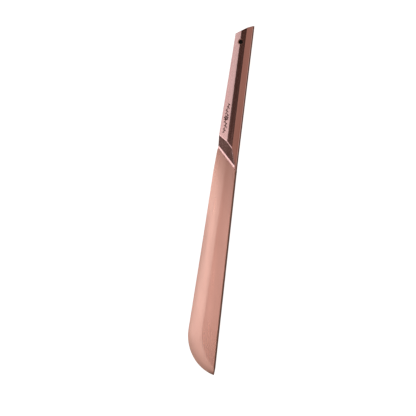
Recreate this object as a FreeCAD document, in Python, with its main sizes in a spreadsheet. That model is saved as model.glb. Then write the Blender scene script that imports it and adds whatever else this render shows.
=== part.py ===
import FreeCAD, Part
import math
import os
import Sketcher

# All-metal knife with a faceted grip: one full-length plate carries the blade and the tang,
# two metal scales are keyed to the tang by dowels, and a tube lines the hanging hole.
#
# Working frame, millimetres: x runs along the blade's spine from the butt to the tip,
# y is 0 on the blade's spine and negative towards the cutting edge, z is 0 on the mid-plane.
# The placements at the end move it to the part's frame: the origin under the middle, +Z up.

doc = FreeCAD.newDocument("knife")
sheet = doc.addObject("Spreadsheet::Sheet", "dims")

# ---------------------------------------------------------------- driving dimensions

driving = {
    "overall_length": 330.0,     # butt to tip
    "stock": 4.2,                # thickness of the plate at the spine of the blade
    "tang_thickness": 3.0,       # what is left of the plate between the scales
    "handle_cant": 0.75,         # degrees, grip spine against blade spine
    "butt_slant": 28.4,          # degrees, butt cut against a square cut
    "grip_edge_start": 13.4,     # spine line to the grip's lower edge, at the butt
    "grip_flare": 3.38,          # degrees, lower edge of the grip against the blade's spine
    "foot_reach": 137.0,         # butt to the foot of the shoulder, at the spine
    "foot_slope": 46.2,          # degrees, foot line of the shoulder against the spine
    "heel_step_run": 2.0,        # small step from the scales out to the heel of the blade
    "heel_step_drop": 0.65,
    "blade_start": 141.5,        # where the straight cutting edge begins
    "blade_start_width": 23.0,   # spine to cutting edge there
    "edge_slope": 3.09,          # degrees, cutting edge against the spine
    "belly_radius": 38.7,        # round of the edge up to the tip
    "bevel_width": 14.0,
    "edge_land": 0.5,            # thickness left at the cutting edge
    "plunge_radius": 30.0,       # grinding wheel that starts the bevel
    "plunge_lead": 11.5,         # from the full bevel's start on to the straight edge's
    "grip_rise": 3.4,            # centre flat of a scale above the blade's face
    "spine_wall": 0.2,           # height of a scale above the tang at the spine
    "spine_facet": 4.5,          # width of the facet beside the spine
    "centre_near": 9.2,          # spine to the far side of the centre flat, at the butt
    "centre_far": 10.1,          # the same at the shoulder
    "edge_tilt": 4.3,            # degrees, facet beside the lower edge against the centre flat
    "ramp_slope": 18.6,          # degrees, the shoulder's ramp down to the blade
    "ramp_round": 8.0,           # hollow at the foot of the ramp
    "hole_reach": 16.0,          # butt to the hanging hole
    "hole_depth": 7.75,          # blade's spine line to the hanging hole
    "tube_bore": 4.0,
    "tube_outer": 5.6,
    "tube_sunk": 0.05,           # tube ends below the centre flats
    "tube_lead": 0.5,            # chamfer at the mouths of the tube
    "dowel": 4.0,
    "dowel_length": 7.8,
    "dowel_lead": 0.4,
    "dowel_seat": 2.6,           # depth of the blind seats in the scales
    "dowel_depth": 7.8,          # blade's spine line to the dowels
    "slip": 0.03,                # diametral clearance of tube and dowels in their holes
    "dowel_butt_reach": 36.0,    # butt to each dowel
    "dowel_middle_reach": 68.0,
    "dowel_shoulder_reach": 98.0,
    "overrun": 8.0,              # how far the cutting outlines pass the piece they cut
}
dowel_names = ["dowel_butt", "dowel_middle", "dowel_shoulder"]

# values worked out from the driving ones; both kinds go into the sheet below
derived = {}


def size(name):
    return driving[name] if name in driving else derived[name]


def tan_of(name):
    return math.tan(math.radians(size(name)))


def save_point(name, x, y):
    derived[name + "_x"] = x
    derived[name + "_y"] = y


def point(name):
    return FreeCAD.Vector(size(name + "_x"), size(name + "_y"), 0)


# ---------------------------------------------------------------- corners of the outline

# spine side: butt corner, foot of the shoulder, tip
save_point("butt_spine", 0.0, size("foot_reach") * tan_of("handle_cant"))
save_point("foot_spine", size("foot_reach"), 0.0)
save_point("tip", size("overall_length"), 0.0)

# lower side of the grip: the butt cut and the shoulder's foot line meet its straight edge
butt_run = (size("grip_edge_start") + size("butt_spine_y")) * tan_of("butt_slant")
butt_run /= 1 - tan_of("butt_slant") * tan_of("grip_flare")
save_point("butt_edge", butt_run, -size("grip_edge_start") - butt_run * tan_of("grip_flare"))
foot_run = size("foot_reach") * tan_of("foot_slope") - size("grip_edge_start")
foot_run /= tan_of("foot_slope") + tan_of("grip_flare")
save_point("foot_edge", foot_run, -size("grip_edge_start") - foot_run * tan_of("grip_flare"))

# heel and cutting edge: the belly's arc is tangent to the straight edge and ends at the tip
save_point("heel", foot_run + size("heel_step_run"), size("foot_edge_y") - size("heel_step_drop"))
save_point("edge_start", size("blade_start"), -size("blade_start_width"))
along = FreeCAD.Vector(math.cos(math.radians(size("edge_slope"))),
                       -math.sin(math.radians(size("edge_slope"))), 0)
inward = FreeCAD.Vector(-along.y, along.x, 0)
reach = point("tip") - point("edge_start")
offset = reach.dot(inward) - size("belly_radius")
straight = reach.dot(along) - math.sqrt(size("belly_radius") ** 2 - offset ** 2)
belly_start = point("edge_start") + along * straight
belly_centre = belly_start + inward * size("belly_radius")
plunge_start = point("edge_start") - along * size("plunge_lead")
save_point("belly_start", belly_start.x, belly_start.y)
save_point("belly_centre", belly_centre.x, belly_centre.y)
derived["bevel_length"] = straight + size("plunge_lead")
belly_turn = (belly_start - belly_centre).getAngle(point("tip") - belly_centre)
derived["belly_sweep"] = math.degrees(belly_turn) + size("overrun")

# directions of the grip's spine and of the shoulder's foot line, and the ends of the tang's
# rebate, which runs past both sides of the plate
spine_way = (point("butt_spine") - point("foot_spine")).normalize()
foot_way = (point("foot_edge") - point("foot_spine")).normalize()
rebate_spine = point("foot_spine") - foot_way * size("overrun")
rebate_edge = point("foot_edge") + foot_way * size("overrun")
save_point("rebate_spine", rebate_spine.x, rebate_spine.y)
save_point("rebate_edge", rebate_edge.x, rebate_edge.y)

# heights from the mid-plane
derived["half_stock"] = size("stock") / 2
derived["half_tang"] = size("tang_thickness") / 2
derived["half_land"] = size("edge_land") / 2
derived["half_grip"] = size("half_stock") + size("grip_rise")
derived["wall_top"] = size("half_tang") + size("spine_wall")
derived["scale_height"] = size("half_grip") - size("half_tang")
derived["clear_height"] = size("half_grip") + size("overrun")
derived["facet_reach"] = 2 * size("overrun")
derived["facet_fall"] = size("facet_reach") * tan_of("edge_tilt")

# the ramp: a hollow at its foot, then a straight slope up to the centre flat
ramp_turn = math.radians(size("ramp_slope"))
derived["hollow_run"] = size("ramp_round") * math.sin(ramp_turn)
derived["hollow_top"] = size("half_stock") + size("ramp_round") * (1 - math.cos(ramp_turn))
derived["ramp_run"] = size("hollow_run") + (
    size("clear_height") - size("hollow_top")) / math.tan(ramp_turn)

derived["dowel_radius"] = (size("dowel") - size("slip")) / 2
derived["dowel_neck"] = size("dowel_radius") - size("dowel_lead")
derived["dowel_half"] = size("dowel_length") / 2
derived["dowel_shoulder_at"] = size("dowel_half") - size("dowel_lead")
derived["tube_half"] = size("half_grip") - size("tube_sunk")
derived["tube_wall_end"] = size("tube_half") - size("tube_lead")
derived["tube_inside"] = size("tube_bore") / 2
derived["tube_mouth"] = size("tube_inside") + size("tube_lead")
derived["tube_outside"] = (size("tube_outer") - size("slip")) / 2

for row, (name, value) in enumerate(list(driving.items()) + list(derived.items()), start=1):
    sheet.set("A%d" % row, name)
    sheet.set("B%d" % row, "%.6f" % value)
    sheet.setAlias("B%d" % row, name)
doc.recompute()

# ---------------------------------------------------------------- drawing helpers


def new_body(label):
    body = doc.addObject("PartDesign::Body", label)
    body.Label = label
    return body


def new_sketch(body, name, origin, across, up):
    """A sketch in the body whose x axis points across and whose y axis points up."""
    base = [part for part in body.Origin.OriginFeatures if part.Role == "XY_Plane"][0]
    sketch = body.newObject("Sketcher::SketchObject", body.Label + "_" + name)
    sketch.AttachmentSupport = [(base, "")]
    sketch.MapMode = "FlatFace"
    turn = FreeCAD.Rotation(across, up, across.cross(up), "XYZ")
    sketch.AttachmentOffset = FreeCAD.Placement(origin, turn)
    return sketch


def pin_down(sketch, geometry, end, x_size, y_size):
    """Holds one end of a curve at two sizes from the sheet, measured from the origin."""
    for kind, rule in (("DistanceX", x_size), ("DistanceY", y_size)):
        value = float(sheet.evalExpression(rule))
        number = sketch.addConstraint(Sketcher.Constraint(kind, -1, 1, geometry, end, value))
        sketch.setExpression("Constraints[%d]" % number, rule)


def draw_loop(sketch, corners, arcs=None):
    """Closed outline through corners given as sheet expressions. arcs maps the number of a
    side to its radius and to the numbers of its centre, in place of a straight side."""
    arcs = arcs or {}
    spots = [FreeCAD.Vector(float(sheet.evalExpression(x)), float(sheet.evalExpression(y)), 0)
             for x, y in corners]
    for number, spot in enumerate(spots):
        following = spots[(number + 1) % len(spots)]
        line = Part.LineSegment(spot, following)
        if number not in arcs:
            geometry = sketch.addGeometry(line, False)
            pin_down(sketch, geometry, 1, *corners[number])
            pin_down(sketch, geometry, 2, *corners[(number + 1) % len(spots)])
            continue
        radius, middle = arcs[number]
        geometry = sketch.addGeometry(Part.Arc(spot, middle, following), False)
        first, last = 1, 2
        if sketch.getPoint(geometry, 1).distanceToPoint(spot) > 0.001:
            first, last = 2, 1
        pin_down(sketch, geometry, first, *corners[number])
        pin_down(sketch, geometry, last, *corners[(number + 1) % len(spots)])
        value = float(sheet.evalExpression(radius))
        rule = sketch.addConstraint(Sketcher.Constraint("Radius", geometry, value))
        sketch.setExpression("Constraints[%d]" % rule, radius)


def draw_circle(sketch, x_size, y_size, radius):
    spot = FreeCAD.Vector(float(sheet.evalExpression(x_size)), float(sheet.evalExpression(y_size)), 0)
    value = float(sheet.evalExpression(radius))
    geometry = sketch.addGeometry(Part.Circle(spot, FreeCAD.Vector(0, 0, 1), value), False)
    pin_down(sketch, geometry, 3, x_size, y_size)
    rule = sketch.addConstraint(Sketcher.Constraint("Radius", geometry, value))
    sketch.setExpression("Constraints[%d]" % rule, radius)


def pad(body, sketch, length, symmetric=False, reverse=False):
    feature = body.newObject("PartDesign::Pad", sketch.Name + "_pad")
    feature.Profile = sketch
    feature.SideType = "Symmetric" if symmetric else "One side"
    feature.Reversed = reverse
    feature.setExpression("Length", length)
    sketch.Visibility = False
    doc.recompute()


def check_cut(body, feature, before):
    """Stops the build where a feature that should remove metal has removed none."""
    doc.recompute()
    taken = before - body.Shape.Volume
    print("%s takes %.1f mm3" % (feature.Name, taken))
    if taken < 0.5:
        raise RuntimeError(feature.Name + " cuts nothing")


def cut(body, sketch, length, symmetric=True, reverse=False):
    before = body.Shape.Volume
    feature = body.newObject("PartDesign::Pocket", sketch.Name + "_cut")
    feature.Profile = sketch
    feature.SideType = "Symmetric" if symmetric else "One side"
    feature.Reversed = reverse
    feature.setExpression("Length", length)
    sketch.Visibility = False
    check_cut(body, feature, before)


def cut_round(body, sketch, angle):
    """Turns the sketch about its own upright axis and takes that away from the body."""
    before = body.Shape.Volume
    feature = body.newObject("PartDesign::Groove", sketch.Name + "_groove")
    feature.Profile = sketch
    feature.ReferenceAxis = (sketch, ["V_Axis"])
    feature.setExpression("Angle", angle)
    sketch.Visibility = False
    check_cut(body, feature, before)


def side_name(side):
    return "front" if side > 0 else "back"


upward = FreeCAD.Vector(0, 0, 1)
lengthways = FreeCAD.Vector(1, 0, 0)
sideways = FreeCAD.Vector(0, 1, 0)
up_ramp = FreeCAD.Vector(foot_way.y, -foot_way.x, 0)


def corner(name):
    return ("dims.%s_x" % name, "dims.%s_y" % name)


# ---------------------------------------------------------------- blade and tang


def draw_bevel_gap(sketch, inner, outer):
    """The two wedges that the grinder takes off, above and below the cutting edge."""
    for sign in ("", "-"):
        draw_loop(sketch, [
            (inner, sign + "dims.half_stock"),
            (outer, sign + "dims.half_land"),
            (outer + " + dims.overrun", sign + "dims.half_land"),
            (outer + " + dims.overrun", sign + "dims.clear_height"),
            (inner, sign + "dims.clear_height")])


def make_blade():
    body = new_body("blade_and_tang")
    outline = new_sketch(body, "outline", FreeCAD.Vector(), lengthways, sideways)
    names = ["butt_spine", "foot_spine", "tip", "belly_start", "edge_start", "heel",
             "foot_edge", "butt_edge"]
    towards = (point("tip") + point("belly_start")) / 2 - point("belly_centre")
    belly_middle = point("belly_centre") + towards.normalize() * size("belly_radius")
    draw_loop(outline, [corner(name) for name in names],
              arcs={names.index("tip"): ("dims.belly_radius", belly_middle)})
    pad(body, outline, "dims.stock", symmetric=True)

    # the tang is milled down on both faces, up to the foot line of the shoulder
    for side in (1, -1):
        rebate = new_sketch(body, "rebate_" + side_name(side),
                            upward * side * size("half_tang"), lengthways, sideways)
        draw_loop(rebate, [corner("rebate_spine"), corner("rebate_edge"),
                           ("-dims.overrun", "dims.rebate_edge_y"),
                           ("-dims.overrun", "dims.rebate_spine_y")])
        cut(body, rebate, "dims.clear_height", symmetric=False, reverse=side > 0)

    # straight bevel, then the same bevel turned round the belly
    section = new_sketch(body, "bevel", plunge_start, inward * -1, upward)
    draw_bevel_gap(section, "-dims.bevel_width", "0")
    cut(body, section, "dims.bevel_length", symmetric=False)
    away = (point("belly_start") - point("belly_centre")).normalize()
    section = new_sketch(body, "belly_bevel", point("belly_centre"), away, upward)
    draw_bevel_gap(section, "dims.belly_radius - dims.bevel_width", "dims.belly_radius")
    cut_round(body, section, "dims.belly_sweep")

    # the wheel's round start of the bevel, tangent to its plane, on both faces
    slope = math.atan2(size("half_stock") - size("half_land"), size("bevel_width"))
    for side in (1, -1):
        normal = inward * -math.sin(slope) + upward * side * math.cos(slope)
        land = plunge_start + upward * side * size("half_land")
        wheel = new_sketch(body, "plunge_" + side_name(side),
                           land + normal * size("plunge_radius"), along, normal)
        draw_circle(wheel, "0", "0", "dims.plunge_radius")
        cut(body, wheel, "2 * dims.blade_start_width + 20")

    holes = new_sketch(body, "holes", FreeCAD.Vector(), lengthways, sideways)
    draw_circle(holes, "dims.hole_reach", "-dims.hole_depth", "dims.tube_outer / 2")
    for name in dowel_names:
        draw_circle(holes, "dims.%s_reach" % name, "-dims.dowel_depth", "dims.dowel / 2")
    cut(body, holes, "2 * dims.clear_height")
    return body


# ---------------------------------------------------------------- grip scales


def make_scale(side):
    """One faceted scale; side is 1 for the front face and -1 for the back."""
    body = new_body(side_name(side) + "_scale")
    out = upward * side
    outline = new_sketch(body, "outline", out * size("half_tang"), lengthways, sideways)
    draw_loop(outline, [corner(name) for name in
                        ("butt_spine", "foot_spine", "foot_edge", "butt_edge")])
    pad(body, outline, "dims.scale_height", reverse=side < 0)

    # facet beside the spine: from the spine wall up to the centre flat
    across = FreeCAD.Vector(-spine_way.y, spine_way.x, 0)
    section = new_sketch(body, "spine_facet", point("butt_spine"), across * -1, out)
    draw_loop(section, [("-dims.spine_facet", "dims.half_grip"),
                        ("0", "dims.wall_top"),
                        ("dims.overrun", "dims.wall_top"),
                        ("dims.overrun", "dims.clear_height"),
                        ("-dims.spine_facet", "dims.clear_height")])
    cut(body, section, "3 * dims.foot_reach")

    # facet beside the lower edge, tilted a little away from the centre flat
    near = point("butt_spine") + across * size("centre_near")
    far = point("foot_spine") + across * size("centre_far")
    line_way = (near - far).normalize()
    section = new_sketch(body, "edge_facet", near, FreeCAD.Vector(-line_way.y, line_way.x, 0), out)
    draw_loop(section, [("0", "dims.half_grip"),
                        ("dims.facet_reach", "dims.half_grip - dims.facet_fall"),
                        ("dims.facet_reach", "dims.clear_height"),
                        ("0", "dims.clear_height")])
    cut(body, section, "3 * dims.foot_reach")

    # the shoulder's ramp, with a hollow that runs out level with the blade's face
    section = new_sketch(body, "ramp", point("foot_spine"), up_ramp, out)
    half_turn = ramp_turn / 2
    middle = FreeCAD.Vector(size("ramp_round") * math.sin(half_turn),
                            size("half_stock") + size("ramp_round") * (1 - math.cos(half_turn)), 0)
    draw_loop(section, [("0", "dims.half_stock"),
                        ("dims.hollow_run", "dims.hollow_top"),
                        ("dims.ramp_run", "dims.clear_height"),
                        ("-dims.overrun", "dims.clear_height"),
                        ("-dims.overrun", "dims.half_stock")],
              arcs={0: ("dims.ramp_round", middle)})
    cut(body, section, "dims.foot_reach")

    # through hole for the tube and blind seats for the dowels
    hole = new_sketch(body, "tube_hole", FreeCAD.Vector(), lengthways, sideways)
    draw_circle(hole, "dims.hole_reach", "-dims.hole_depth", "dims.tube_outer / 2")
    cut(body, hole, "2 * dims.clear_height")
    seats = new_sketch(body, "dowel_seats", out * size("half_tang"), lengthways, sideways)
    for name in dowel_names:
        draw_circle(seats, "dims.%s_reach" % name, "-dims.dowel_depth", "dims.dowel / 2")
    cut(body, seats, "dims.dowel_seat", symmetric=False, reverse=side > 0)
    return body


# ---------------------------------------------------------------- tube and dowels


def make_turned(label, corners):
    """A turned piece: its half section turned about its own upright axis."""
    body = new_body(label)
    section = new_sketch(body, "section", FreeCAD.Vector(), lengthways, upward)
    draw_loop(section, corners)
    turned = body.newObject("PartDesign::Revolution", label + "_turned")
    turned.Profile = section
    turned.ReferenceAxis = (section, ["V_Axis"])
    turned.Angle = 360
    section.Visibility = False
    doc.recompute()
    return body


def make_tube():
    return make_turned("hanging_tube", [
        ("dims.tube_inside", "-dims.tube_wall_end"),
        ("dims.tube_mouth", "-dims.tube_half"),
        ("dims.tube_outside", "-dims.tube_half"),
        ("dims.tube_outside", "dims.tube_half"),
        ("dims.tube_mouth", "dims.tube_half"),
        ("dims.tube_inside", "dims.tube_wall_end")])


def make_dowel(label):
    return make_turned(label, [
        ("0", "-dims.dowel_half"),
        ("dims.dowel_neck", "-dims.dowel_half"),
        ("dims.dowel_radius", "-dims.dowel_shoulder_at"),
        ("dims.dowel_radius", "dims.dowel_shoulder_at"),
        ("dims.dowel_neck", "dims.dowel_half"),
        ("0", "dims.dowel_half")])


# ---------------------------------------------------------------- the whole knife

blade = make_blade()
scales = [make_scale(1), make_scale(-1)]
tube = make_tube()
dowels = [make_dowel(name) for name in dowel_names]
parts = [blade] + scales + [tube] + dowels

# the part's own frame: the origin under the middle of the knife's box
middle = blade.Shape.optimalBoundingBox(True, False).Center
shift = FreeCAD.Vector(-middle.x, -middle.y, size("half_grip"))
for body in [blade] + scales:
    body.Placement = FreeCAD.Placement(shift, FreeCAD.Rotation())
hole_place = FreeCAD.Vector(size("hole_reach"), -size("hole_depth"), 0)
tube.Placement = FreeCAD.Placement(shift + hole_place, FreeCAD.Rotation())
for body in dowels:
    spot = FreeCAD.Vector(size(body.Label + "_reach"), -size("dowel_depth"), 0)
    body.Placement = FreeCAD.Placement(shift + spot, FreeCAD.Rotation())
doc.recompute()

for item in doc.Objects:
    if "Invalid" in item.State or "Error" in item.State:
        raise RuntimeError(item.Name + " failed")
os.makedirs("parts", exist_ok=True)
for body in parts:
    shape = body.Shape
    if shape.isNull() or not shape.isValid() or len(shape.Solids) != 1:
        raise RuntimeError(body.Label + " is not one sound solid")
    shape.exportStep("parts/%s.step" % body.Label)
    box = shape.optimalBoundingBox(True, False)
    print("%-16s %8.1f mm3  x %7.2f %7.2f  y %6.2f %6.2f  z %5.2f %5.2f" % (
        body.Label, shape.Volume, box.XMin, box.XMax, box.YMin, box.YMax, box.ZMin, box.ZMax))
print("hanging hole at", tube.Placement.Base)
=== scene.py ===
import math

import bmesh
import bpy
import numpy as np
from mathutils import Matrix, Vector


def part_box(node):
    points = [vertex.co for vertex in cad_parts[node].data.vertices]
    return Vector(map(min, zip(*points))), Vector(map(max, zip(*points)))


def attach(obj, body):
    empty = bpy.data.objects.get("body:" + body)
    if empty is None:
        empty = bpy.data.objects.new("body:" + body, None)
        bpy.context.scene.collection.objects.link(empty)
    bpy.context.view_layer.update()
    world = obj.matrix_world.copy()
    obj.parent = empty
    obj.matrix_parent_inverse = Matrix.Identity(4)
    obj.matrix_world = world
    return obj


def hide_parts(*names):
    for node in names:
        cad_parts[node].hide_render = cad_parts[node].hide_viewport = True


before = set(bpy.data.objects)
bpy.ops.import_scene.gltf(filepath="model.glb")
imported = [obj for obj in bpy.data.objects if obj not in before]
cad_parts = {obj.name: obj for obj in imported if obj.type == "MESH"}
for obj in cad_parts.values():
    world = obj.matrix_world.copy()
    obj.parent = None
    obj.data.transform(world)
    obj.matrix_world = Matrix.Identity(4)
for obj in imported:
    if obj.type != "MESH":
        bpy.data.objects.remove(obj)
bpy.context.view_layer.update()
mm = 0.001
meshing = {"merge": 0.002 * mm, "sharpAngle": 28, "smallSharpAngle": 40}   # angles in degrees

# An all-metal knife lying on its back scale: x from butt to tip, y towards the spine, z up.
# Lengths in the dictionaries are millimetres. Outlines are worked out with the butt at x = 0 and
# the blade's spine at y = 0, heights from the middle of the plate, and moved to the frame at the end.

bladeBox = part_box("blade_and_tang")
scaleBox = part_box("front_scale")
knifeLength = (bladeBox[1].x - bladeBox[0].x) / mm
footReach = (scaleBox[1].x - scaleBox[0].x) / mm

outline = {
    "handleCant": 0.75,       # degrees, grip spine against blade spine
    "buttSlant": 28.4,        # degrees, butt cut against a square cut
    "gripStart": 13.4,        # blade's spine line to the grip's lower edge, at the butt
    "gripFlare": 3.38,        # degrees
    "footSlope": 46.2,        # degrees, foot line of the shoulder against the spine
    "heelStep": (2.0, 0.65),  # run and drop from the scales out to the heel
    "edgeStart": (141.5, 23.0),
    "edgeSlope": 3.09,        # degrees
    "bellyRadius": 38.7,
}


def tanOf(degrees):
    # tangent of an angle in degrees
    return math.tan(math.radians(degrees))


def unit(vector):
    # the vector divided by its length
    return vector / np.linalg.norm(vector)


def worldPoints(points):
    # moves outline millimetres to the frame's metres: the butt's spine corner is the highest y
    shift = np.array([bladeBox[0].x / mm, bladeBox[1].y / mm - buttSpine[1],
                      (bladeBox[0].z + bladeBox[1].z) / 2 / mm])
    return (points + shift) * mm


# corners of the outline: straight lines crossing each other, then a belly arc that is tangent
# to the straight edge and ends at the tip
buttSpine = np.array([0.0, footReach * tanOf(outline["handleCant"])])
footSpine = np.array([footReach, 0.0])
tip = np.array([knifeLength, 0.0])
gripTan = tanOf(outline["gripFlare"])
buttTan = tanOf(outline["buttSlant"])
footTan = tanOf(outline["footSlope"])
buttRun = (outline["gripStart"] + buttSpine[1]) * buttTan / (1 - buttTan * gripTan)
buttEdge = np.array([buttRun, -outline["gripStart"] - buttRun * gripTan])
footRun = (footReach * footTan - outline["gripStart"]) / (footTan + gripTan)
footEdge = np.array([footRun, -outline["gripStart"] - footRun * gripTan])
heel = footEdge + np.array([outline["heelStep"][0], -outline["heelStep"][1]])
edgeStart = np.array([outline["edgeStart"][0], -outline["edgeStart"][1]])
edgeAngle = math.radians(outline["edgeSlope"])
alongEdge = np.array([math.cos(edgeAngle), -math.sin(edgeAngle)])
inward = np.array([-alongEdge[1], alongEdge[0]])
reach = tip - edgeStart
sag = reach @ inward - outline["bellyRadius"]
straight = reach @ alongEdge - math.sqrt(outline["bellyRadius"] ** 2 - sag ** 2)
bellyStart = edgeStart + alongEdge * straight
bellyCentre = bellyStart + inward * outline["bellyRadius"]
spineWay = unit(buttSpine - footSpine)
spineInward = np.array([-spineWay[1], spineWay[0]])
footWay = unit(footEdge - footSpine)
upRamp = np.array([footWay[1], -footWay[0]])


def softMin(a, b, blend):
    # the lower of two heights, rounded over about the blend length where they cross
    gap = np.clip(0.5 + 0.5 * (b - a) / blend, 0, 1)
    return b + (a - b) * gap - blend * gap * (1 - gap)


def easedEdge(distance, radius):
    # drop of a rounded corner: a quarter circle of that radius, level beyond it
    inside = np.clip(radius - distance, 0, radius)
    return radius - np.sqrt(radius ** 2 - inside ** 2)


def slabSheets(front, back, label):
    # a closed shape from two height sheets on one grid: front and back faces, then walls that
    # join their borders. Both are rows by columns by 3, in outline millimetres, and label holds
    # a value for each grid point
    rows, columns = front.shape[:2]
    index = np.arange(rows * columns).reshape(rows, columns)
    far = index + rows * columns
    quads = []

    def strip(a, b, c, d):
        quads.append(np.stack([a, b, c, d], axis=-1).reshape(-1, 4))

    strip(index[:-1, :-1], index[1:, :-1], index[1:, 1:], index[:-1, 1:])
    strip(far[:-1, :-1], far[:-1, 1:], far[1:, 1:], far[1:, :-1])
    strip(index[:-1, 0], far[:-1, 0], far[1:, 0], index[1:, 0])
    strip(index[:-1, -1], index[1:, -1], far[1:, -1], far[:-1, -1])
    strip(index[0, :-1], index[0, 1:], far[0, 1:], far[0, :-1])
    strip(index[-1, :-1], far[-1, :-1], far[-1, 1:], index[-1, 1:])
    points = worldPoints(np.concatenate([front.reshape(-1, 3), back.reshape(-1, 3)]))
    return points, np.concatenate(quads), np.concatenate([label.ravel(), label.ravel()])


def makePiece(name, parts, metal, replaced=None, sharpAngle=meshing["sharpAngle"]):
    # one object from several closed shapes; the third array of each is its wear, and for the hanging tube
    # the painted shade deep in its bore
    starts = np.cumsum([0] + [len(points) for points, _, _ in parts[:-1]])
    points = np.concatenate([points for points, _, _ in parts])
    quads = np.concatenate([quads + start for (_, quads, _), start in zip(parts, starts)])
    wearAndShade = np.concatenate([wearAndShade for _, _, wearAndShade in parts])
    mesh = bpy.data.meshes.new(name)
    mesh.from_pydata(points.tolist(), [], quads.tolist())
    mesh.attributes.new("wearAndShade", "FLOAT", "POINT").data.foreach_set("value", wearAndShade.astype(np.float32))
    mesh.materials.append(metals[metal])
    piece = bpy.data.objects.new(name, mesh)
    bpy.context.scene.collection.objects.link(piece)
    finishMesh(piece, sharpAngle)
    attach(piece, "root")
    if replaced:
        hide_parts(replaced)
    return piece


def finishMesh(piece, sharpAngle=meshing["sharpAngle"]):
    # doubles merged, normals outwards, smooth shading with edges sharp past the angle
    work = bmesh.new()
    work.from_mesh(piece.data)
    bmesh.ops.remove_doubles(work, verts=work.verts, dist=meshing["merge"])
    bmesh.ops.recalc_face_normals(work, faces=work.faces)
    work.to_mesh(piece.data)
    work.free()
    piece.data.shade_smooth()
    piece.data.set_sharp_from_angle(angle=math.radians(sharpAngle))


def spread(stops, counts):
    # one run of values through the stops, each stretch divided evenly into its count
    runs = [np.linspace(a, b, n, endpoint=False) for a, b, n in zip(stops[:-1], stops[1:], counts)]
    return np.concatenate(runs + [[stops[-1]]])


def between(a, b, t):
    # straight line from a to b, at each t
    return a + (b - a) * np.asarray(t)[..., None]


def drill(piece, spot, radius, turns=96, depth=20.0):
    # Takes a round hole out of a piece: the cutter is an upright cylinder, two rings of points at
    # spot + radius * (cos, sin), and the boolean is applied.
    angles = np.linspace(0, 2 * math.pi, turns, endpoint=False)
    ring = np.stack([spot[0] + radius * np.cos(angles), spot[1] + radius * np.sin(angles)], axis=1)
    low = np.column_stack([ring, np.full(turns, -depth)])
    high = np.column_stack([ring, np.full(turns, depth)])
    step = np.arange(turns)
    following = (step + 1) % turns
    sides = np.stack([step, following, following + turns, step + turns], axis=1).tolist()
    caps = [step[::-1].tolist(), (step + turns).tolist()]
    mesh = bpy.data.meshes.new("cutter")
    mesh.from_pydata(worldPoints(np.concatenate([low, high])).tolist(), [], sides + caps)
    cutter = bpy.data.objects.new("cutter", mesh)
    bpy.context.scene.collection.objects.link(cutter)
    boolean = piece.modifiers.new("hole", "BOOLEAN")
    boolean.operation = "DIFFERENCE"
    boolean.solver = "EXACT"
    boolean.object = cutter
    graph = bpy.context.evaluated_depsgraph_get()
    made = bpy.data.meshes.new_from_object(piece.evaluated_get(graph))
    piece.modifiers.clear()
    piece.data = made
    bpy.data.objects.remove(cutter)
    finishMesh(piece)


def addNode(tree, kind, values=None, **inputs):
    # one shader node, with its plain values and its linked or constant inputs; i0, i1 and so on
    # are sockets by number
    node = tree.nodes.new(kind)
    for name, value in (values or {}).items():
        setattr(node, name, value)
    for name, value in inputs.items():
        socket = node.inputs[int(name[1:])] if name[0] == "i" and name[1:].isdigit() else node.inputs[name]
        if isinstance(value, bpy.types.NodeSocket):
            tree.links.new(value, socket)
        else:
            socket.default_value = value
    return node


# Brushed rose copper. Each finish has its clean and deep colour, the colour where it is worn (in
# the tube it is painted shade, the near black deep in its bore), roughness and how far it swings,
# then the cells per metre along x and across it for the fine grain and for the streaks, the bump's
# strength, and the share of that worn colour and painted shade.
finishes = {
    "gripMetal": {"color": (0.92, 0.57, 0.54), "deep": (0.78, 0.46, 0.43), "wornAndShaded": (0.96, 0.70, 0.66),
                  "rough": 0.145, "swing": 0.05, "grain": (22, 900), "streak": (5, 400),
                  "bump": 0.02, "wornAndShadedShare": 0.10},
    "bladeMetal": {"color": (0.96, 0.565, 0.47), "deep": (0.85, 0.48, 0.39), "wornAndShaded": (0.97, 0.68, 0.58),
                   "rough": 0.30, "swing": 0.06, "grain": (25, 900), "streak": (10, 150),
                   "bump": 0.02, "wornAndShadedShare": 0.35},
    # the tube's worn colour is painted shade: near black, put deep in its bore
    "tubeMetal": {"color": (0.72, 0.43, 0.37), "deep": (0.50, 0.29, 0.24), "wornAndShaded": (0.012, 0.008, 0.006),
                  "rough": 0.30, "swing": 0.10, "grain": (900, 900), "streak": (160, 160),
                  "bump": 0.05, "wornAndShadedShare": 1.0},
    "etchedDark": {"color": (0.15, 0.065, 0.05), "deep": (0.08, 0.035, 0.028), "wornAndShaded": (0.2, 0.1, 0.08),
                   "rough": 0.55, "swing": 0.10, "grain": (900, 900), "streak": (160, 160),
                   "bump": 0.10, "wornAndShadedShare": 0.0},
    "hiddenSteel": {"color": (0.60, 0.59, 0.58), "deep": (0.42, 0.41, 0.40), "wornAndShaded": (0.6, 0.6, 0.6),
                    "rough": 0.35, "swing": 0.10, "grain": (900, 900), "streak": (160, 160),
                    "bump": 0.08, "wornAndShadedShare": 0.0},
}
brushing = {
    "cloud": (16, 60), "streakShare": 0.82, "cloudShare": 0.45,   # cells per metre, then mixes
    "toneRange": (0.36, 0.62),     # stretch of the summed noise that runs from deep to clean
    "streakRange": (0.30, 0.70),   # stretch of the streaks that swings the roughness
    "detail": 2.0, "grainDetail": 3.0, "detailRoughness": 0.55, "bumpDepth": 0.05 * mm,
}


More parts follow.
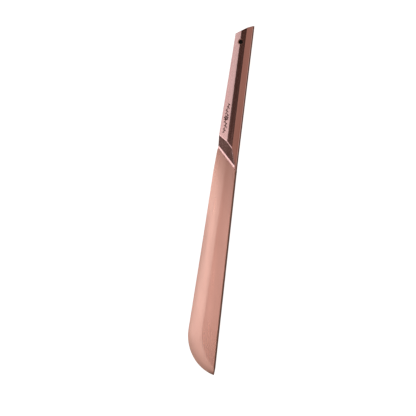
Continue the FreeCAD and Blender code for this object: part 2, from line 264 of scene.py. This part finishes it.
def makeMetal(name):
    # Fine grain, wider streaks and a slow cloud are noises stretched along x. Their sum mixes the
    # deep and the clean colour, the streaks swing the roughness, and the attribute for wear and
    # painted shade mixes in the worn colour on arrises and, in the tube, the painted shade of its bore.
    look = finishes[name]
    material = bpy.data.materials.new(name)
    material.use_nodes = True
    tree = material.node_tree
    shader = tree.nodes["Principled BSDF"]
    place = addNode(tree, "ShaderNodeTexCoord").outputs["Object"]

    def noise(cells, detail):
        scaled = addNode(tree, "ShaderNodeMapping", Vector=place, Scale=(cells[0], cells[1], cells[1]))
        return addNode(tree, "ShaderNodeTexNoise", Vector=scaled.outputs[0], Scale=1.0,
                       Detail=detail, Roughness=brushing["detailRoughness"]).outputs[0]

    def blend(a, b, share):
        return addNode(tree, "ShaderNodeMix", {"data_type": "FLOAT"}, i0=share, i2=a, i3=b).outputs[0]

    def ranged(value, stretch, low, high):
        return addNode(tree, "ShaderNodeMapRange", i0=value, i1=stretch[0], i2=stretch[1],
                       i3=low, i4=high).outputs[0]

    grain = noise(look["grain"], brushing["grainDetail"])
    streak = noise(look["streak"], brushing["detail"])
    cloud = noise(brushing["cloud"], brushing["detail"])
    tone = blend(blend(grain, streak, brushing["streakShare"]), cloud, brushing["cloudShare"])
    share = ranged(tone, brushing["toneRange"], 0.0, 1.0)
    colors = addNode(tree, "ShaderNodeMix", {"data_type": "RGBA"}, i0=share,
                     i6=(*look["deep"], 1), i7=(*look["color"], 1)).outputs[2]
    # this attribute carries wear on arrises, and in the tube the painted shade deep in its bore
    wearAndShade = addNode(tree, "ShaderNodeAttribute", {"attribute_name": "wearAndShade"}).outputs["Fac"]
    wornAndShaded = addNode(tree, "ShaderNodeMath", {"operation": "MULTIPLY"}, i0=wearAndShade,
                   i1=look["wornAndShadedShare"]).outputs[0]
    colors = addNode(tree, "ShaderNodeMix", {"data_type": "RGBA"}, i0=wornAndShaded, i6=colors,
                     i7=(*look["wornAndShaded"], 1)).outputs[2]
    tree.links.new(colors, shader.inputs["Base Color"])
    swing = 2 * look["rough"] * look["swing"]
    rough = ranged(streak, brushing["streakRange"], look["rough"] - swing, look["rough"] + swing)
    tree.links.new(rough, shader.inputs["Roughness"])
    bump = addNode(tree, "ShaderNodeBump", Strength=look["bump"], Distance=brushing["bumpDepth"],
                   Height=grain).outputs[0]
    tree.links.new(bump, shader.inputs["Normal"])
    shader.inputs["Metallic"].default_value = 1.0
    return material


metals = {name: makeMetal(name) for name in finishes}
print("metals made:", ", ".join(metals))

# the hanging tube stands in a hole through grip and tang
tubeShape = {
    "bore": 2.0, "outer": 2.79, "lead": 0.5, "round": 0.08, "turns": 128,
    "paintedShadeFrom": 0.6, "paintedShadeBand": 0.5,      # depth below a mouth where the bore is painted dark as shade
    "paintedShadeTones": (1.0, 0.8, 0.3),          # and how dark that painted shade is, from inside to the mouth
    "flare": (0.5, 0.45),                  # share of the lead where the mouth turns
}
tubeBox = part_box("hanging_tube")
holeSpot = ((tubeBox[0].x + tubeBox[1].x) / 2 / mm - bladeBox[0].x / mm,
            (tubeBox[0].y + tubeBox[1].y) / 2 / mm - bladeBox[1].y / mm + buttSpine[1])


def makeTube():
    # A half section carried round the hole's axis, each of its points on a circle: bore, flared
    # mouths, flat rims. The bore's points deep inside carry painted shade.
    half = (tubeBox[1].z - tubeBox[0].z) / 2 / mm
    bore, outer, lead, soft = (tubeShape[key] for key in ("bore", "outer", "lead", "round"))
    deep = half - tubeShape["paintedShadeFrom"]
    out, down = tubeShape["flare"]
    section = np.array([[bore, deep - tubeShape["paintedShadeBand"]], [bore, deep], [bore, half - lead],
                        [bore + lead * out, half - lead * down],
                        [bore + lead - soft, half - soft], [bore + lead, half],
                        [outer - soft, half], [outer, half - soft]])
    # painted shade: the points deep in the bore take the near-black worn colour of the tube's finish
    paintedBoreShade = np.zeros(len(section))
    paintedBoreShade[:3] = tubeShape["paintedShadeTones"]
    section = np.concatenate([section, section[::-1] * [1, -1]])
    paintedBoreShade = np.concatenate([paintedBoreShade, paintedBoreShade[::-1]])
    turns = np.linspace(0, 2 * math.pi, tubeShape["turns"], endpoint=False)[:, None]
    radius, level = section[:, 0], section[:, 1]
    points = np.stack([holeSpot[0] + radius * np.cos(turns), holeSpot[1] + radius * np.sin(turns),
                       level + 0 * turns], axis=2).reshape(-1, 3)
    index = np.arange(len(points)).reshape(len(turns), len(section))
    ahead = np.roll(index, -1, axis=0)
    quads = np.stack([index, ahead, np.roll(ahead, -1, axis=1), np.roll(index, -1, axis=1)], axis=-1)
    shape = (worldPoints(points), quads.reshape(-1, 4), np.tile(paintedBoreShade, len(turns)))
    return makePiece("hangingTube", [shape], "tubeMetal", "hanging_tube",
                     meshing["smallSharpAngle"])


# The blade and its tang are one plate.
blade = {
    "stock": 4.2, "tang": 3.0, "land": 0.5,
    "bevelStart": 12.9, "bevelEnd": 15.1,   # width of the bevel at the plunge and at the belly
    "bevelTip": 6.5,                        # and at the tip
    "fullUntil": 25.0,                      # degrees round the belly before it narrows
    "crown": 0.50,                          # how much steeper the bevel is at the edge
    "plungeRadius": 60.0, "plungeLead": 21.0,   # the wheel's arc ends that far behind edgeStart
    "shallow": 0.90, "shallowReach": 90.0,  # the bevel is that much shallower at its start
    "fadePower": 1.5, "narrowPower": 1.5,   # how the depth grows, and how the width narrows
    "spineEase": 0.45, "spineRound": 0.35,  # the corner's fine columns, and its radius
    "easeMost": 0.125,                      # share of a short line that they take at most
    "grindBlend": 0.05, "crownStop": 1.4,   # in bevel widths
    "wornSpine": 0.35, "wornEdge": 0.5,
    "rows": {"tang": 14, "step": 9, "heel": 60, "straight": 90, "belly": 150},
    "stepSkip": 0.01, "stepShare": 0.12,    # the first rows past the tang, as shares of their stretch
    "tipStop": 0.985,                       # share of the belly's easing where the last row stands
    "columns": [9, 16, 20, 24],             # spine corner, flat, grind line, bevel
    "grindBand": 1.6,                       # half width of the fine columns at the grind line
    "leastShares": (0.15, 0.1, 0.2),        # of a short line: flat, grind line, bevel
}


def bevelHeight(t):
    # height over the land as a share of its rise: a parabola over t, which counts bevel widths
    # from the edge. It is steeper at the edge, and stays above the flat once it has passed it
    t = np.minimum(t, blade["crownStop"])
    return (1 + blade["crown"]) * t - blade["crown"] * t ** 2


def makeBlade():
    # Lines run from a spine point to an edge point and slide along both: level with the butt
    # cut, then with the foot line, then square to the edge, then radial round the belly.
    # Across each line the height is the flat or the bevel, whichever is lower. The bevel is the
    # land plus its rise, made shallower towards the shoulder, where the wheel's arc ends it.
    half, land, rows = blade["stock"] / 2, blade["land"] / 2, blade["rows"]
    tangT = np.linspace(0, 1, rows["tang"])
    spineRows = [between(buttSpine, footSpine, tangT)]
    edgeRows = [between(buttEdge, footEdge, tangT)]
    squareSpine = edgeStart + inward * (-edgeStart[1] / inward[1])
    # the step's first row is just off the tang's last one, so that the wall between has a face
    stepT = np.linspace(blade["stepSkip"], 1, rows["step"])
    heelT = np.linspace(0, 1, rows["heel"])[1:]
    stepEnd = between(footSpine, squareSpine, blade["stepShare"])
    spineRows += [between(footSpine, stepEnd, stepT), between(stepEnd, squareSpine, heelT)]
    edgeRows += [between(footEdge, heel, stepT), between(heel, edgeStart, heelT)]
    straightT = np.linspace(0, 1, rows["straight"])[1:]
    rowEdge = between(edgeStart, bellyStart, straightT)
    spineRows.append(rowEdge + inward * (-rowEdge[:, 1:] / inward[1]))
    edgeRows.append(rowEdge)
    first = math.atan2(*(bellyStart - bellyCentre)[::-1])
    last = math.atan2(*(tip - bellyCentre)[::-1])
    eased = np.sin(np.linspace(0, 1, rows["belly"])[1:] * math.pi / 2 * blade["tipStop"])
    angles = first + (last - first) * eased
    radial = np.stack([np.cos(angles), np.sin(angles)], axis=1)
    edgeRows.append(bellyCentre + radial * outline["bellyRadius"])
    spineRows.append(bellyCentre + radial * (-bellyCentre[1] / radial[:, 1:]))
    spine, edge = np.concatenate(spineRows), np.concatenate(edgeRows)
    length = np.linalg.norm(edge - spine, axis=1)

    # the bevel's width along the blade: widening along the straight, narrowing round the belly
    alongRow = np.clip((edge - edgeStart) @ alongEdge / straight, 0, 1)
    turned = np.zeros(len(edge))
    turned[-len(angles):] = np.degrees(angles - first)
    width = blade["bevelStart"] + (blade["bevelEnd"] - blade["bevelStart"]) * alongRow
    narrowing = math.degrees(last - first) - blade["fullUntil"]
    past = np.clip((turned - blade["fullUntil"]) / narrowing, 0, 1)
    width = width - (blade["bevelEnd"] - blade["bevelTip"]) * past ** blade["narrowPower"]

    # columns: the eased spine corner, the flat, a fine band over the grind line, the bevel
    ease = np.minimum(blade["spineEase"], blade["easeMost"] * length)
    band, (flatLeast, bandLeast, bevelLeast) = blade["grindBand"], blade["leastShares"]
    bandStart = np.maximum(length - width - band, ease + flatLeast * (length - ease))
    bandEnd = np.maximum(length - width + band, bandStart + bandLeast * length)
    bandEnd = np.minimum(bandEnd, (1 - bevelLeast) * length + bevelLeast * bandStart)
    zones = np.stack([np.zeros_like(ease), ease, bandStart, bandEnd, length], axis=1)
    columns = spread([0, 1, 2, 3, 4], blade["columns"])
    across = np.stack([np.interp(columns, np.arange(5), row) for row in zones])
    direction = (edge - spine) / length[:, None]
    flat = spine[:, None, :] + direction[:, None, :] * across[:, :, None]

    ringDistance = outline["bellyRadius"] - np.linalg.norm(flat - bellyCentre, axis=2)
    fromEdge = np.where(turned[:, None] > 0, ringDistance, (flat - edgeStart) @ inward)
    fromPlunge = (flat - edgeStart) @ alongEdge + blade["plungeLead"]
    ahead = np.clip(-fromPlunge, 0, None)
    grown = np.clip(fromPlunge / blade["shallowReach"], 0, 1)
    depth = 1 - blade["shallow"] * (1 - grown) ** blade["fadePower"]
    bevel = half - (half - land) * depth * (1 - bevelHeight(fromEdge / width[:, None]))
    bevel = bevel + ahead ** 2 / (2 * blade["plungeRadius"])
    height = softMin(np.full_like(bevel, half), bevel, blade["grindBlend"])
    height = np.maximum(height, land)
    height = height - easedEdge(across, blade["spineRound"])

    # behind the foot line the plate is milled down to the tang: the foot row stands twice
    height[:rows["tang"]] = blade["tang"] / 2
    front = np.dstack([flat, height])
    back = np.dstack([flat, -height])
    wearAndShade = np.exp(-(across / blade["wornSpine"]) ** 2)
    wearAndShade = wearAndShade + np.exp(-((length[:, None] - across) / blade["wornEdge"]) ** 2)
    wearAndShade[:rows["tang"]] = 0
    sheets = slabSheets(front, back, wearAndShade)
    piece = makePiece("knifeBlade", [sheets], "bladeMetal", "blade_and_tang")
    drill(piece, holeSpot, tubeShape["outer"])
    return piece


knifeBlade = makeBlade()
print("blade:", len(knifeBlade.data.polygons), "faces")

# Two grip scales, one on each face of the tang.
grip = {
    "rise": 3.4, "spineWall": 0.2,
    "spineFacet": (4.3, 4.9),               # width at the butt and at the shoulder
    "centreNear": 9.2, "centreFar": 10.1,   # spine to the far side of the centre flat
    "edgeTilt": 4.3, "rampSlope": 18.8, "rampRound": 9.0,
    "edgeBlend": 0.012, "spineBlend": 0.06,   # how softly the facets run into each other
    "rampBlend": (0.55, 0.04),              # at the spine and at the lower edge
    "ease": 0.30,
    "crown": 0.02, "crownStop": 1.4,        # rise of the centre flat, and where it stops falling
    "wornDepth": 0.03,                      # how far down the facets the arrises are worn bright
    "rampTwist": 1.4,                       # degrees, the ramp is this much flatter at the lower edge
    "innerGap": 0.005, "leastWall": 0.05,   # over the tang: the inner face, and the thinnest spot
    # borders of the facets are 0, 1, 2 and 3 across; columns crowd at each of them, and rows
    # crowd at the butt, along the ramp and at the foot line
    "columnStops": [0, 0.12, 0.94, 1, 1.06, 1.94, 2, 2.06, 2.95, 3],
    "columnCounts": [8, 14, 4, 4, 12, 4, 4, 14, 8],
    "rowStops": [0, 0.006, 0.70, 0.90, 0.985, 1],
    "rowCounts": [8, 60, 60, 110, 40],
}
halfStock = blade["stock"] / 2
halfGrip = halfStock + grip["rise"]


def facetHeights(flat):
    # The lowest of four surfaces at each point. Spine facet and lower facet are planes, the centre
    # flat is a shallow parabola, and the ramp is an arc at its foot and then a twisted plane.
    fromSpine = (flat - buttSpine) @ spineInward
    wall = blade["tang"] / 2 + grip["spineWall"]
    shoulder = np.clip(flat[..., 0] / footReach, 0, 1)
    facetWidth = grip["spineFacet"][0] + (grip["spineFacet"][1] - grip["spineFacet"][0]) * shoulder
    spineFacet = wall + fromSpine * (halfGrip - wall) / facetWidth
    near = buttSpine + spineInward * grip["centreNear"]
    far = footSpine + spineInward * grip["centreFar"]
    lineWay = unit(far - near)
    past = (flat - near) @ np.array([lineWay[1], -lineWay[0]])
    edgeFacet = halfGrip - past * tanOf(grip["edgeTilt"])
    fromFoot = np.clip((flat - footSpine) @ upRamp, 0, None)
    share = np.clip((flat - footSpine) @ footWay / np.linalg.norm(footEdge - footSpine), 0, 1)
    turn = np.radians(grip["rampSlope"] - grip["rampTwist"] * share)
    hollowRun = grip["rampRound"] * np.sin(turn)
    hollow = grip["rampRound"] - np.sqrt(grip["rampRound"] ** 2 - np.minimum(fromFoot, hollowRun) ** 2)
    ramp = halfStock + hollow + np.clip(fromFoot - hollowRun, 0, None) * np.tan(turn)
    middle = (fromSpine - facetWidth) / (grip["centreNear"] - facetWidth) * 2 - 1
    centre = halfGrip - grip["crown"] * np.clip(middle, -1, grip["crownStop"]) ** 2
    top = softMin(centre, edgeFacet, grip["edgeBlend"])
    top = softMin(top, spineFacet, grip["spineBlend"])
    lowest = np.sort(np.stack([centre, edgeFacet, spineFacet, ramp]), axis=0)
    wearAndShade = np.exp(-((lowest[1] - lowest[0]) / grip["wornDepth"]) ** 2)
    rampBlend = grip["rampBlend"][1] + (grip["rampBlend"][0] - grip["rampBlend"][1]) * (1 - share) ** 2
    return softMin(top, ramp, rampBlend), wearAndShade


def makeScale(name, side, node):
    # A grid between the butt cut and the foot line whose columns follow the facets' borders;
    # heights come from the facets, and the outer corners are eased.
    buttWay, buttSpan = unit(buttEdge - buttSpine), np.linalg.norm(buttEdge - buttSpine)
    stretch = 1 / (buttWay @ spineInward)
    buttStops = [0, grip["spineFacet"][0] * stretch, grip["centreNear"] * stretch, buttSpan]
    footSpan = np.linalg.norm(footEdge - footSpine)
    stretch = 1 / (footWay @ spineInward)
    footStops = [0, grip["spineFacet"][1] * stretch, grip["centreFar"] * stretch, footSpan]
    columns = spread(grip["columnStops"], grip["columnCounts"])
    buttLine = buttSpine + buttWay * np.interp(columns, range(4), buttStops)[:, None]
    footLine = footSpine + footWay * np.interp(columns, range(4), footStops)[:, None]
    rows = spread(grip["rowStops"], grip["rowCounts"])
    flat = buttLine + (footLine - buttLine) * rows[:, None, None]
    height, wearAndShade = facetHeights(flat)
    lowerWay = unit(footEdge - buttEdge)
    fromLower = (flat - buttEdge) @ np.array([-lowerWay[1], lowerWay[0]])
    fromButt = (flat - buttSpine) @ np.array([-buttWay[1], buttWay[0]])
    fromSpine = (flat - buttSpine) @ spineInward
    for distance in (fromSpine, fromLower, fromButt):
        height = height - easedEdge(np.clip(distance, 0, None), grip["ease"])
    height = np.maximum(height, blade["tang"] / 2 + grip["leastWall"])
    inner = np.full_like(height, blade["tang"] / 2 + grip["innerGap"])
    sheets = slabSheets(np.dstack([flat, height * side]), np.dstack([flat, inner * side]), wearAndShade)
    piece = makePiece(name, [sheets], "gripMetal", node)
    drill(piece, holeSpot, tubeShape["outer"])
    return piece


frontScale = makeScale("frontScale", 1, "front_scale")
backScale = makeScale("backScale", -1, "back_scale")
print("scales:", len(frontScale.data.polygons), "faces each")

# Etched ornament on the facet beside the lower edge: a plain sprig with a rosette.
sprig = {
    "start": (74.4, -13.2), "length": 28.0,   # its foot on the facet, and how far it runs
    "turn": -2.6,                             # degrees, along the facet
    "wave": 0.55, "waveLength": 9.3, "stemHalf": 0.24,
    "leafCount": 17, "leafLength": 2.3, "leafHalf": 0.48, "leafLean": 48.0,
    "leafSpan": (0.6, 1.2), "leafSwell": 0.8,   # bare stem at both ends, and how blunt a leaf is
    "leafBend": 0.36, "leastHalf": 0.02,
    "rosetteAt": 14.0, "rosetteGap": 2.4, "rosetteEye": 0.45,
    "petals": 7, "petalLength": 2.3, "petalHalf": 0.55,
    "proud": 0.012, "sunk": 0.05,
    "leafPoints": 13, "stemPoints": 70,
}


def makeSprig():
    # Each stroke is a ribbon: a centre line and a half width along it, thin at both ends. The
    # stem is a sine wave, leaves lean off it to alternate sides and petals stand round a point.
    t = np.linspace(0, 1, sprig["leafPoints"])
    swell = np.sin(math.pi * t) ** sprig["leafSwell"]

    def stemAt(along):
        wave = sprig["wave"] * np.sin(2 * math.pi * along / sprig["waveLength"])
        return np.stack([along, wave], axis=-1)

    def blades(roots, angles, length, half):
        way = np.stack([np.cos(angles), np.sin(angles)], axis=-1)
        side = np.stack([-way[:, 1], way[:, 0]], axis=-1)
        bend = sprig["leafBend"] * length * t * (1 - t)
        lines = roots[:, None] + way[:, None] * (t * length)[:, None] + side[:, None] * bend[:, None]
        return [(line, half * swell) for line in lines]

    bareFoot, bareTop = sprig["leafSpan"]
    spots = np.linspace(bareFoot, sprig["length"] - bareTop, sprig["leafCount"])
    spots = spots[np.abs(spots - sprig["rosetteAt"]) > sprig["rosetteGap"]]
    lean = np.radians(sprig["leafLean"]) * np.where(np.arange(len(spots)) % 2 == 0, 1, -1)
    strokes = blades(stemAt(spots), lean, sprig["leafLength"], sprig["leafHalf"])
    around = np.linspace(0, 2 * math.pi, sprig["petals"], endpoint=False)
    centre = stemAt(np.full(sprig["petals"], sprig["rosetteAt"]))
    ring = centre + sprig["rosetteEye"] * np.stack([np.cos(around), np.sin(around)], axis=1)
    strokes += blades(ring, around, sprig["petalLength"], sprig["petalHalf"])
    stem = np.linspace(0, 1, sprig["stemPoints"]) * sprig["length"]
    strokes.append((stemAt(stem), np.full_like(stem, sprig["stemHalf"])))

    turn = math.radians(sprig["turn"])
    rotate = np.array([[math.cos(turn), math.sin(turn)], [-math.sin(turn), math.cos(turn)]])
    parts = []
    for line, half in strokes:
        way = np.gradient(line, axis=0)
        way = way / np.linalg.norm(way, axis=1, keepdims=True)
        half = np.maximum(half, sprig["leastHalf"])
        side = np.stack([-way[:, 1], way[:, 0]], axis=1) * half[:, None]
        flat = np.stack([line - side, line, line + side], axis=1) @ rotate + np.array(sprig["start"])
        height, _ = facetHeights(flat)
        parts.append(slabSheets(np.dstack([flat, height + sprig["proud"]]),
                                np.dstack([flat, height - sprig["sunk"]]), np.zeros_like(height)))
    return makePiece("etchedSprig", parts, "etchedDark",
                     sharpAngle=meshing["smallSharpAngle"])


etchedSprig = makeSprig()
print("sprig:", len(etchedSprig.data.polygons), "faces")

hangingTube = makeTube()
for name in ("dowel_butt", "dowel_middle", "dowel_shoulder"):
    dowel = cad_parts[name]
    dowel.data.materials.clear()
    dowel.data.materials.append(metals["hiddenSteel"])
print("tube:", len(hangingTube.data.polygons), "faces, and dowels done")

# White paper, a few soft panels and a long lens.
studio = {
    "floorSize": 6.0, "floorTone": 0.90, "floorGlow": 0.95,
    # tone of the room by height, from straight down to straight up
    "room": {0.0: (0.10, 0.075, 0.06), 0.40: (0.13, 0.10, 0.085), 0.50: (0.60, 0.53, 0.49),
             0.64: (0.52, 0.45, 0.41), 0.74: (0.056, 0.034, 0.025), 1.0: (0.056, 0.034, 0.025)},
}
lights = {
    # angle from straight up towards -y (negative) or +y, distance, middle and width along x
    "gripPanel": {"angle": -38.2, "distance": 1.0, "along": -0.205, "width": 0.23, "depth": 0.27,
                  "power": 0.187, "color": (0.97, 1.0, 1.02)},
    "edgePanel": {"angle": -38.2, "distance": 1.0, "along": 0.0925, "width": 0.365, "depth": 0.27,
                  "power": 0.4365, "color": (0.97, 1.0, 1.02)},
    "tipPanel": {"angle": -35, "distance": 1.0, "along": 0.545, "width": 0.54, "depth": 0.25,
                 "power": 0.36, "color": (1.0, 0.95, 0.93)},
    "rampPanel": {"angle": -55, "distance": 1.0, "along": 0.33, "width": 0.40, "depth": 0.20,
                  "power": 0.015, "color": (1.0, 0.95, 0.90)},
    "flatPanel": {"angle": -21, "distance": 1.0, "along": 0.105, "width": 0.27, "depth": 0.20,
                  "power": 0.20, "color": (1.0, 0.82, 0.79)},
    "spinePanel": {"angle": 58, "distance": 1.0, "along": 0.0, "width": 1.2, "depth": 0.5,
                   "power": 0.52, "color": (1.0, 0.70, 0.57)},
    "topPanel": {"angle": 6, "distance": 1.2, "along": 0.1, "width": 0.8, "depth": 0.3,
                 "power": 0.20, "color": (1.0, 0.85, 0.80)},
}
cameraView = {"tilt": 24.0, "roll": 6.27, "distance": 1.6, "span": 0.3928, "sensor": 36,
              "aim": (0.00947, -0.00911, 0.0076), "clip": (0.05, 20)}


def makeFloor():
    # a square of glowing white paper under the knife
    size = studio["floorSize"] / 2
    corners = [(-size, -size, 0), (size, -size, 0), (size, size, 0), (-size, size, 0)]
    mesh = bpy.data.meshes.new("paleFloor")
    mesh.from_pydata(corners, [], [(0, 1, 2, 3)])
    floor = bpy.data.objects.new("paleFloor", mesh)
    bpy.context.scene.collection.objects.link(floor)
    material = bpy.data.materials.new("palePaper")
    material.use_nodes = True
    shader = material.node_tree.nodes["Principled BSDF"]
    tone = studio["floorTone"]
    shader.inputs["Base Color"].default_value = (tone, tone, tone, 1)
    shader.inputs["Roughness"].default_value = 1.0
    shader.inputs["Emission Color"].default_value = (1, 1, 1, 1)
    shader.inputs["Emission Strength"].default_value = studio["floorGlow"]
    mesh.materials.append(material)
    floor.visible_glossy = False   # the metal reflects the studio, not the paper under it


def makeLights():
    # each panel faces the knife from its angle and distance; the room is a ramp over height
    for name, setting in lights.items():
        data = bpy.data.lights.new(name, "AREA")
        data.shape = "RECTANGLE"
        data.size, data.size_y = setting["width"], setting["depth"]
        data.energy = setting["power"]
        data.color = setting["color"]
        lamp = bpy.data.objects.new(name, data)
        angle = math.radians(setting["angle"])
        away = Vector((0, math.sin(angle), math.cos(angle)))
        lamp.location = away * setting["distance"] + Vector((setting["along"], 0, 0))
        side = Vector((1, 0, 0))
        lamp.rotation_mode = "QUATERNION"
        lamp.rotation_quaternion = Matrix((side, away.cross(side), away)).transposed().to_quaternion()
        bpy.context.scene.collection.objects.link(lamp)
    world = bpy.data.worlds.new("studio")
    world.use_nodes = True
    tree = world.node_tree
    direction = addNode(tree, "ShaderNodeTexCoord").outputs["Generated"]
    height = addNode(tree, "ShaderNodeSeparateXYZ", Vector=direction).outputs[2]
    level = addNode(tree, "ShaderNodeMapRange", i0=height, i1=-1.0, i2=1.0, i3=0.0, i4=1.0).outputs[0]
    ramp = addNode(tree, "ShaderNodeValToRGB", Fac=level)
    stops = ramp.color_ramp.elements
    while len(stops) < len(studio["room"]):
        stops.new(0.5)   # its place is set below
    for stop, (place, tone) in zip(stops, sorted(studio["room"].items())):
        stop.position = place
        stop.color = (*tone, 1)
    tree.links.new(ramp.outputs[0], tree.nodes["Background"].inputs[0])
    bpy.context.scene.world = world


def makeCamera():
    # a long lens, leaning from straight above towards the spine, butt at the top of the picture
    data = bpy.data.cameras.new("viewCamera")
    data.sensor_width = cameraView["sensor"]
    data.lens = cameraView["sensor"] * cameraView["distance"] / cameraView["span"]
    data.clip_start, data.clip_end = cameraView["clip"]
    camera = bpy.data.objects.new("viewCamera", data)
    tilt, roll = math.radians(cameraView["tilt"]), math.radians(cameraView["roll"])
    back = Vector((0, math.sin(tilt), math.cos(tilt)))
    level = Vector((0, math.cos(tilt), -math.sin(tilt)))
    up = Vector((-1, 0, 0)) * math.cos(roll) - level * math.sin(roll)
    right = up.cross(back)
    camera.location = Vector(cameraView["aim"]) + back * cameraView["distance"]
    camera.rotation_mode = "QUATERNION"
    camera.rotation_quaternion = Matrix((right, up, back)).transposed().to_quaternion()
    bpy.context.scene.collection.objects.link(camera)
    bpy.context.scene.camera = camera


makeFloor()
makeLights()
makeCamera()
bpy.context.scene.view_settings.view_transform = "Standard"
print("studio ready")
